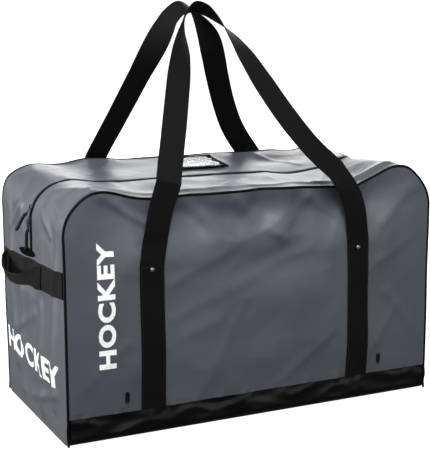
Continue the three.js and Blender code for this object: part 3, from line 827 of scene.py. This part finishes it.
for face, side in FACES:
    first, last = shoulder_shares(side)
    for hand, x, bend, share in (("left", -LEG_X, (-230, -214), first), ("right", LEG_X, (231, 212), last)):
        end, end_across = loop_spot(side, share)
        if end_across.x < 0:
            end_across = -end_across
        route = [Vector((x, side * STRAP_Y, SEW_TOP)), Vector((bend[0], side * FREE_Y, 366)),
                 Vector((bend[1], side * FREE_Y, 445)), end]

        def spot(v, route=route, end_across=end_across):
            across = Vector((1, 0, 0)).lerp(end_across, ease(0.5, 1, v)).normalized()
            return smooth_point(route, v), across, 290 + 155 * v

        made = webbing(f"{face}_{hand}_free_leg", 40, spot, leg_hang)
        blend = ("root", face + "_handle_legs", (0, side * FREE_Y, 345), (0, side * FREE_Y, 385))
        settle(made, None, "webbing", f"{face}_{hand}_free_strap", blend=blend)

    def spot(v, side=side, first=first, last=last):
        middle, across = loop_spot(side, mix(first, last, v))
        return middle, across, 445 + 860 * v

    made = webbing(face + "_handle_loop_web", 170, spot, still)
    blend = (face + "_handle_legs", face + "_handle_loop", (0, side * FREE_Y, 500), (0, side * FREE_Y, 545))
    settle(made, None, "webbing", face + "_carry_loop", blend=blend)
print("loops", [round(c, 3) for c in made.dimensions])

# %% [markdown]
# ## The ends
# A wide webbing band is sewn across each end, with a shorter length bowed out over it as a grab
# handle. A leaf-shaped tab covers the foot of the zip.

# %% Backing, grab handle and end tab
def grab_height(y):
    return ZIP_LOW - mix(18, 40, (y + HALF_W) / (2 * HALF_W))


def grab_hang(p):
    base = (math.copysign(HALF_L, p[0]), p[1], p[2])
    return Vector(p) + (drape(base) - Vector(base)) * (1 - ease(414, 446, abs(p[0])))


GRAB = [  # along the band, share of the bow outward, share of the droop
    (-84, 0.0, 0.0), (-60, 0.42, 0.2), (-20, 0.86, 0.7), (39, 1.0, 1.0), (98, 0.86, 0.7), (138, 0.42, 0.2),
    (162, 0, 0),
]
GRAB_BOW, GRAB_DROOP = 29, 15

for hand, side in HANDS:
    def place(u, v, side=side):
        y = -side * mix(-194, 194, v)
        z = grab_height(y) + 25.5 * mix(-1, 1, u)
        return (side * (HALF_L + 1.5), y, z), (51 * u, 388 * v)

    made = laid(hand + "_grab_band", 8, 90, place, WEBBING, 2.2, offset=0)
    settle(made, "root", "webbing", hand + "_grab_backing")

    def spot(v, side=side):
        route = [Vector((side * (HALF_L + 4.2 + GRAB_BOW * out), y, grab_height(y) - GRAB_DROOP * droop))
                 for y, out, droop in GRAB]
        grip = ease(0.05, 0.3, v) * ease(0.05, 0.3, 1 - v)
        across = Vector((side * 0.45 * grip, 0, 1)).normalized() * mix(1.0, 0.52, grip)
        return smooth_point(route, v), across, 260 * v

    made = webbing(hand + "_grab_web", 60, spot, grab_hang, width=48.0)
    x = side * (HALF_L + 4.2)
    blend = ("root", hand + "_grab", (x, 0, 318), (x + side * 14, 0, 318))
    settle(made, None, "webbing", hand + "_grab_loop", blend=blend)

    def leaf(u, v, side=side):
        y = side * mix(-28, 72, u) if side > 0 else mix(-28, 72, 1 - u)
        share = (y + 28) / 100
        half = 8.5 * max(math.sin(math.pi * min(max(share, 0.02), 0.98)), 0.0) ** 0.6
        z = ZIP_LOW + 7.5 - 3.0 * (share - 0.5) + half * mix(-1, 1, v)
        return (side * (HALF_L + 1.9), y, z), (y, 17 * v)

    made = laid(hand + "_zip_foot_tab", 40, 8, leaf, TAPE, 1.0, offset=0)
    settle(made, "root", "zip_tape", hand + "_zip_end_tab")
print("end pieces", made.name)

# %% [markdown]
# ## Rivets and vents
# A rivet's domed cap has a pressed rim, and it is set through the webbing near the top of the sewing.
# A vent is a moulded oblong grommet. Each is shaped once at the origin and copied to its places.

# %% Rivets
def face_out(made, side, x, z, depth):
    """Stands a piece made facing +Z on the front or rear, on the draped surface."""
    spot = drape((x, side * HALF_W, z))
    turn = Matrix.Rotation(math.pi / 2 if side < 0 else -math.pi / 2, 4, "X")
    made.data.transform(Matrix.Translation((spot + Vector((0, side * depth, 0))) * MM) @ turn)
    made.data.update()


def copied(source, name):
    made = linked(name, source.data.copy())
    made.data.name = name
    return made


deselect()
bpy.ops.mesh.primitive_uv_sphere_add(segments=28, ring_count=16, radius=4.8 * MM)
cap = bpy.context.object
for vertex in cap.data.vertices:
    vertex.co.z = max(vertex.co.z, -1.5 * MM) * 0.42
    ring = math.hypot(vertex.co.x, vertex.co.y) / MM
    vertex.co.z += (0.35 if 3.4 < ring < 4.3 else 0.0) * MM if vertex.co.z > 0 else 0.0
cap.data.materials.append(NICKEL)
for face, side in FACES:
    for hand, x in (("left", -LEG_X), ("right", LEG_X)):
        made = copied(cap, f"{face}_{hand}_rivet_cap")
        face_out(made, side, x, SEW_TOP - 10, 2.9)
        only(made)
        bpy.ops.object.shade_smooth()
        settle(made, "root", "nickel", f"{face}_{hand}_rivet")
bpy.data.objects.remove(cap)
print("rivets 4")

# %% Vents
VENT_X, VENT_Z = 288, 86
deselect()
bpy.ops.mesh.primitive_cylinder_add(vertices=32, radius=4.5 * MM, depth=1.6 * MM)
ring = bpy.context.object
for vertex in ring.data.vertices:
    vertex.co.y += math.copysign(6.5 * MM, vertex.co.y)
pick_faces(ring, lambda polygon: polygon.normal.z > 0.9)
bpy.ops.mesh.inset(thickness=1.8 * MM)
bpy.ops.mesh.extrude_region_move(TRANSFORM_OT_translate={"value": (0, 0, -1.2 * MM)})
to_mode("OBJECT")
bevel_all(ring, 0.35)
ring.data.materials.append(ACETAL)
for face, side in FACES:
    for hand, x in (("left", -VENT_X), ("right", VENT_X)):
        made = copied(ring, f"{face}_{hand}_vent_ring")
        face_out(made, side, x, VENT_Z, 0.9)
        smooth_to_edges(made, 40)
        settle(made, "root", "plastic", f"{face}_{hand}_vent")
bpy.data.objects.remove(ring)
print("vents 4")

# %% [markdown]
# ## Sliders
# A zip slider is die-cast: two plates with rounded ends and an arch, which holds a wire link, which
# holds a moulded pull with ribs and a flared end. Each is made flat at the origin, with X up the zip
# and Z out of the bag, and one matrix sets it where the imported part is.

# %% Slider, link and pull shapes
def plate(low, thick, width=9.0, long=16.0):
    deselect()
    bpy.ops.mesh.primitive_cylinder_add(vertices=28, radius=width / 2 * MM, depth=thick * MM,
                                        location=(0, 0, (low + thick / 2) * MM))
    made = bpy.context.object
    bpy.ops.object.transform_apply(location=True, rotation=True, scale=True)
    for vertex in made.data.vertices:
        vertex.co.x += math.copysign((long - width) / 2 * MM, vertex.co.x)
        vertex.co.y *= 1 - 0.22 * ease(0, long / 2 * MM, -vertex.co.x)
    bevel_all(made, 0.45)
    made.data.materials.append(ZINC)
    return made


def joined(parts, name):
    deselect()
    for part in parts:
        part.select_set(True)
    bpy.context.view_layer.objects.active = parts[0]
    bpy.ops.object.join()
    made = bpy.context.object
    made.name = made.data.name = name
    return smooth_to_edges(made, 40)


def swept(name, points, radii, finish, rings=2, closed=False):
    made = tube(name, [Vector(p) * MM for p in points], 1.0, finish, rings, closed)
    count = len(made.data.vertices) // len(points)
    for i, (point, radius) in enumerate(zip(points, radii)):
        for vertex in list(made.data.vertices)[i * count : (i + 1) * count]:
            centre = Vector(point) * MM
            vertex.co = centre + (vertex.co - centre) * radius
    return made


def slider_shape(name):
    arch = [(4.4 * math.cos(a), 0, 1.8 + 5.6 * math.sin(a)) for a in (math.pi * i / 16 for i in range(17))]
    parts = [plate(0.7, 1.6), plate(-5.8, 1.6), plate(-5.0, 6.4, 1.8, 12.0)]
    return joined(parts + [swept(name + "_arch", arch, [1.0] * 17, ZINC)], name)


LEVEL, LINK_LONG, LINK_HALF, GRIP_RISE = 5.4, 18.0, 4.0, 2.6


def link_shape(name):
    straight = LINK_LONG / 2 - LINK_HALF
    ring = []
    for i in range(40):
        a = 2 * math.pi * i / 40
        x = LINK_HALF * math.cos(a)
        ring.append((x + math.copysign(straight, x) - LINK_LONG / 2, LINK_HALF * math.sin(a), LEVEL))
    return swept(name, ring, [0.95] * 40, ZINC, closed=True)


def pull_shape(name):
    points, radii = [], []
    for i in range(60):
        d = 1.6 + 44 * i / 59
        rib = 0.28 * math.sin(d * 2.0) if 14 < d < 34 else 0.0
        radii.append(mix(1.9, 3.3, ease(1, 8, d)) + 0.7 * ease(34, 43, d) - 1.4 * ease(43.5, 46, d) + rib)
        points.append((-LINK_LONG - d, 0, LEVEL + GRIP_RISE * ease(1, 8, d)))
    grip = swept(name + "_grip", points, radii, ACETAL, 3)
    for vertex in grip.data.vertices:
        vertex.co.y *= 1.2
    eye = [(-LINK_LONG + 2.1 * math.cos(a), 0, LEVEL + 2.1 * math.sin(a))
           for a in (2 * math.pi * i / 24 for i in range(24))]
    return joined([grip, swept(name + "_eye", eye, [0.8] * 24, ACETAL, closed=True)], name)


# %% Set the two sliders on the zip
def zip_frame(angle, place, lean=0.0):
    t = math.radians(angle)
    basis = Matrix(((math.sin(t), 0, -math.cos(t)), (0, 1, 0), (math.cos(t), 0, math.sin(t)))).to_4x4()
    return Matrix.Translation(Vector(place) * MM) @ basis @ Matrix.Rotation(-math.radians(lean), 4, "Z")


UPPER = math.radians(21)
UPPER_PLACE = (-ARC_X - CORNER * math.cos(UPPER), 0, ARC_Z + CORNER * math.sin(UPPER))
for which, angle, lean, place in (("upper", 21, 26, UPPER_PLACE), ("lower", 0, 8, (-HALF_L, 0, ARC_Z - 1))):
    for shape, body, node, slot_name, tilt in (
        (slider_shape, "slider", "slider", "nickel", 0),
        (link_shape, "link", "slider_link", "nickel", lean),
        (pull_shape, "pull", "pull_tab", "plastic", lean),
    ):
        made = shape(f"{which}_{body}_shape")
        made.data.transform(zip_frame(angle, place, tilt))
        settle(made, f"{which}_{body}", slot_name, f"{which}_{node}")
print("sliders 2", [round(c, 4) for c in made.dimensions])

# %% [markdown]
# ## Identity card pocket
# A clear vinyl window is bound on three sides with black tape. Thin film never lies flat: it
# crumples, and the crumples are what catch the light. The card slips in from the open side.

# %% Card pocket, window and card
POCKET = {"left": -64, "right": 56, "front": 50, "rear": 164, "border": 13}


def lifted(height):
    return lambda p: drape((p[0], p[1], TOP)) + Vector((0, 0, height + p[2]))


def flat_strip(name, x0, x1, y0, y1, finish, height, thickness, steps=(24, 4), wave=0.0):
    def place(u, v):
        x, y = mix(x0, x1, u), mix(y0, y1, v)
        n = Vector((x, y, 0))
        z = wave * (abs(noise.noise(n / 22)) + 0.5 * abs(noise.noise(n / 9))) if wave else 0.0
        return Vector((x, y, z)), (x, y)

    return laid(name, *steps, place, finish, thickness, lifted(height), offset=0)


left, right, front, rear, b = POCKET.values()
bars = [
    flat_strip("pocket_front_binding", left, right, front, front + b, TAPE, 3.4, 2.4),
    flat_strip("pocket_rear_binding", left, right, rear - b, rear, TAPE, 5.0, 3.4),
    flat_strip("pocket_side_binding", right - b, right, front + b * 0.8, rear - b * 0.8,
               TAPE, 4.2, 2.6, (4, 24)),
]
for bar in bars:
    settle(bar, "rear_flap", "zip_tape", "card_pocket_rim")
made = flat_strip("pocket_window", -62, 47, 60, 154, FILM, 3.1, 0.3, (90, 80), 6.5)
settle(made, "rear_flap", "film", "card_window")
made = flat_strip("identity_card_sheet", -62, 47.5, 58.5, 155.5, CARD, 1.4, 0.4, (20, 20))
settle(made, "card", "paper", "identity_card")
print("pocket made")

# %% [markdown]
# ## Printed word
# The print is thick white ink that follows every fold. The word is a plain one in Blender's own font,
# cut into small squares first so that it can bend with the cloth.

# %% Print on the front and the left end
LETTER_SIZE, LETTER_SPACING = 1.38, 1.12  # font size for capitals 1 high
BOLDER, SQUARE = 1.9, 6


def printed(name, word, tall, place):
    deselect()
    bpy.ops.object.text_add(location=(0, 0, 0))
    text = bpy.context.object
    text.data.body, text.data.size, text.data.resolution_u = word, tall * LETTER_SIZE * MM, 4
    text.data.offset = BOLDER * MM
    text.data.align_x, text.data.space_character = "LEFT", LETTER_SPACING
    bpy.ops.object.convert(target="MESH")
    made = bpy.context.object
    made.name = made.data.name = name
    width = max(v.co.x for v in made.data.vertices)
    to_mode("EDIT")
    for axis, reach in ((0, width), (1, tall * MM)):
        normal = (1, 0, 0) if axis == 0 else (0, 1, 0)
        for i in range(1, int(reach / (SQUARE * MM)) + 1):
            bpy.ops.mesh.select_all(action="SELECT")
            bpy.ops.mesh.bisect(plane_co=[c * i * SQUARE * MM for c in normal], plane_no=normal)
    bpy.ops.mesh.select_all(action="SELECT")
    bpy.ops.mesh.quads_convert_to_tris()
    to_mode("OBJECT")
    for vertex in made.data.vertices:
        vertex.co = place(vertex.co.x / width, vertex.co.y / (tall * MM)) * MM
    made.data.materials.append(INK)
    apply_modifier(made, "SOLIDIFY", thickness=0.3 * MM, offset=0)
    return smooth_to_edges(made, 40)


def on_front(along, up):
    return drape((mix(-312, -345, up), -HALF_W - 0.3, mix(146, 392, along)))


def on_left_end(along, up):
    return drape((-HALF_L - 0.3, mix(190, -164, along), mix(106, 152, up)))


for name, place, tall in (("front_print", on_front, 33), ("left_end_print", on_left_end, 46)):
    settle(printed(name, "HOCKEY", tall, place), "root", "print")
print("prints 2")

# %% [markdown]
# ## Stitching
# Lockstitch shows as short raised dashes. One is modelled, then copied every 4.2 mm along the sewn
# lines: twice along the base seam, down both edges of each leg, across its top, and beside the zip on
# the top.

# %% Stitches
def dash_shape(long):
    deselect()
    bpy.ops.mesh.primitive_uv_sphere_add(segments=6, ring_count=4, radius=0.5 * MM)
    dash = bpy.context.object
    points = [Vector((v.co.x / MM * long, v.co.y / MM * 0.8, v.co.z / MM * 0.6))
              for v in dash.data.vertices]
    faces = [tuple(p.vertices) for p in dash.data.polygons]
    bpy.data.objects.remove(dash)
    return points, faces


def stitched(name, runs, pitch=4.2, hang=drape):
    """Each run is from, to, outward."""
    shape, faces = dash_shape(pitch * 0.62)
    points, polygons = [], []
    for begin, stop, outward in runs:
        begin, stop, outward = Vector(begin), Vector(stop), Vector(outward)
        count = max(int((stop - begin).length / pitch), 1)
        along = (stop - begin).normalized()
        for i in range(count):
            middle = begin.lerp(stop, (i + 0.5) / count)
            spot = hang(middle)
            way = (hang(middle + along) - spot).normalized()
            side = outward.cross(way).normalized()
            up = way.cross(side)
            base = len(points)
            points += [(spot + up * 0.15 + way * p.x + side * p.y + up * p.z) * MM for p in shape]
            polygons += [tuple(base + i for i in f) for f in faces]
    mesh = bpy.data.meshes.new(name)
    mesh.from_pydata(points, [], polygons)
    mesh.materials.append(THREAD)
    made = linked(name, mesh)
    only(made)
    bpy.ops.object.shade_smooth()
    return made


for face, side in FACES:
    out = (0, side, 0)
    y = side * HALF_W
    rows = [((-404, y, SEAM_Z + h), (404, y, SEAM_Z + h), out) for h in (3.2, 8.4)]
    settle(stitched(face + "_base_stitching", rows), "root", "thread")
    y = side * (STRAP_Y + 1.1)
    runs = []
    for x in (-LEG_X, LEG_X):
        for edge in (-22.5, 22.5):
            runs.append(((x + edge, y, SEAM_Z + 4), (x + edge, y, SEW_TOP - 3), out))
        runs.append(((x - 22, y, SEW_TOP - 4), (x + 22, y, SEW_TOP - 4), out))
    settle(stitched(face + "_leg_stitching", runs), "root", "thread")
    for hand, side_x in HANDS:
        line = [((0, side * (LANE + 3), TOP), (side_x * ARC_X, side * (LANE + 3), TOP), (0, 0, 1))]
        made = stitched(f"{face}_{hand}_zip_stitching", line)
        settle(made, None, "thread", blend=flap_blend(face, side_x))
print("stitching made")

# %% [markdown]
# ## Floor, light and camera
# The bag stands on a plain white floor. A soft light above the front shows the folds, a low one
# lights the left end, and the largest stands behind, where the top reflects it to the camera. The
# floor doesn't light the bag or reflect in it, which would turn its blacks grey.

# %% Stage
deselect()
bpy.ops.mesh.primitive_circle_add(vertices=96, radius=40, fill_type="NGON")
floor = bpy.context.object
floor.name = "floor"
white = start("matt white floor", 0.9, Base_Color=(0.4, 0.4, 0.4, 1), Emission_Color=(1, 1, 1, 1),
              Emission_Strength=1.0)[0]
floor.data.materials.append(white)
floor.visible_diffuse = floor.visible_glossy = False

world = bpy.data.worlds.new("studio")
bpy.context.scene.world = world
world.use_nodes = True
sky = world.node_tree
height = add(sky, "SeparateXYZ", {0: add(sky, "TexCoord").outputs["Generated"]})
share = add(sky, "Math", {0: height.outputs["Z"]}, operation="MULTIPLY_ADD")
share.inputs[1].default_value = share.inputs[2].default_value = 0.5  # -1..1 becomes 0..1
band = add(sky, "ValToRGB", {0: share.outputs[0]})
for at, shade in ((0.46, "#4a4a4a"), (0.485, "#ffffff"), (0.65, "#ffffff"), (0.8, "#6a6a6a")):
    stop = band.color_ramp.elements.new(at)
    stop.color = linear(shade)
band.color_ramp.elements[0].color, band.color_ramp.elements[-1].color = linear("#4a4a4a"), linear("#6a6a6a")
sky.links.new(band.outputs["Color"], sky.nodes["Background"].inputs["Color"])
sky.nodes["Background"].inputs["Strength"].default_value = 1.1


def soft_light(name, place, aim, power, size):
    light = bpy.data.lights.new(name, "AREA")
    light.shape, light.size, light.energy = "DISK", size, power
    made = linked(name, light)
    made.location = place
    made.rotation_euler = (Vector(aim) - Vector(place)).to_track_quat("-Z", "Y").to_euler()
    return made


for name, place, power, size in (
    ("overhead softbox", (-0.5, -1.35, 2.3), 92, 1.5),
    ("left softbox", (-2.7, 0.6, 0.5), 80, 0.7),
    ("rear softbox", (2.2, 4.2, 1.7), 160, 3.2),
):
    soft_light(name, place, (0, 0, 0.35), power, size).visible_camera = False
bpy.context.scene.view_settings.view_transform = "Standard"

# %% Camera
camera = linked("camera", bpy.data.cameras.new("camera"))
yaw, pitch, roll = math.radians(25.59), math.radians(10.79), math.radians(0.24)
forward = Vector((math.sin(yaw) * math.cos(pitch), math.cos(yaw) * math.cos(pitch), -math.sin(pitch)))
turn = forward.to_track_quat("-Z", "Y").to_matrix().to_4x4()
camera.matrix_world = Matrix.Translation((-1.0871, -2.2660, 0.8444)) @ turn @ Matrix.Rotation(-roll, 4, "Z")
camera.data.lens, camera.data.sensor_width = 95.1, 36
bpy.context.scene.camera = camera

# %% The end
bpy.context.view_layer.update()
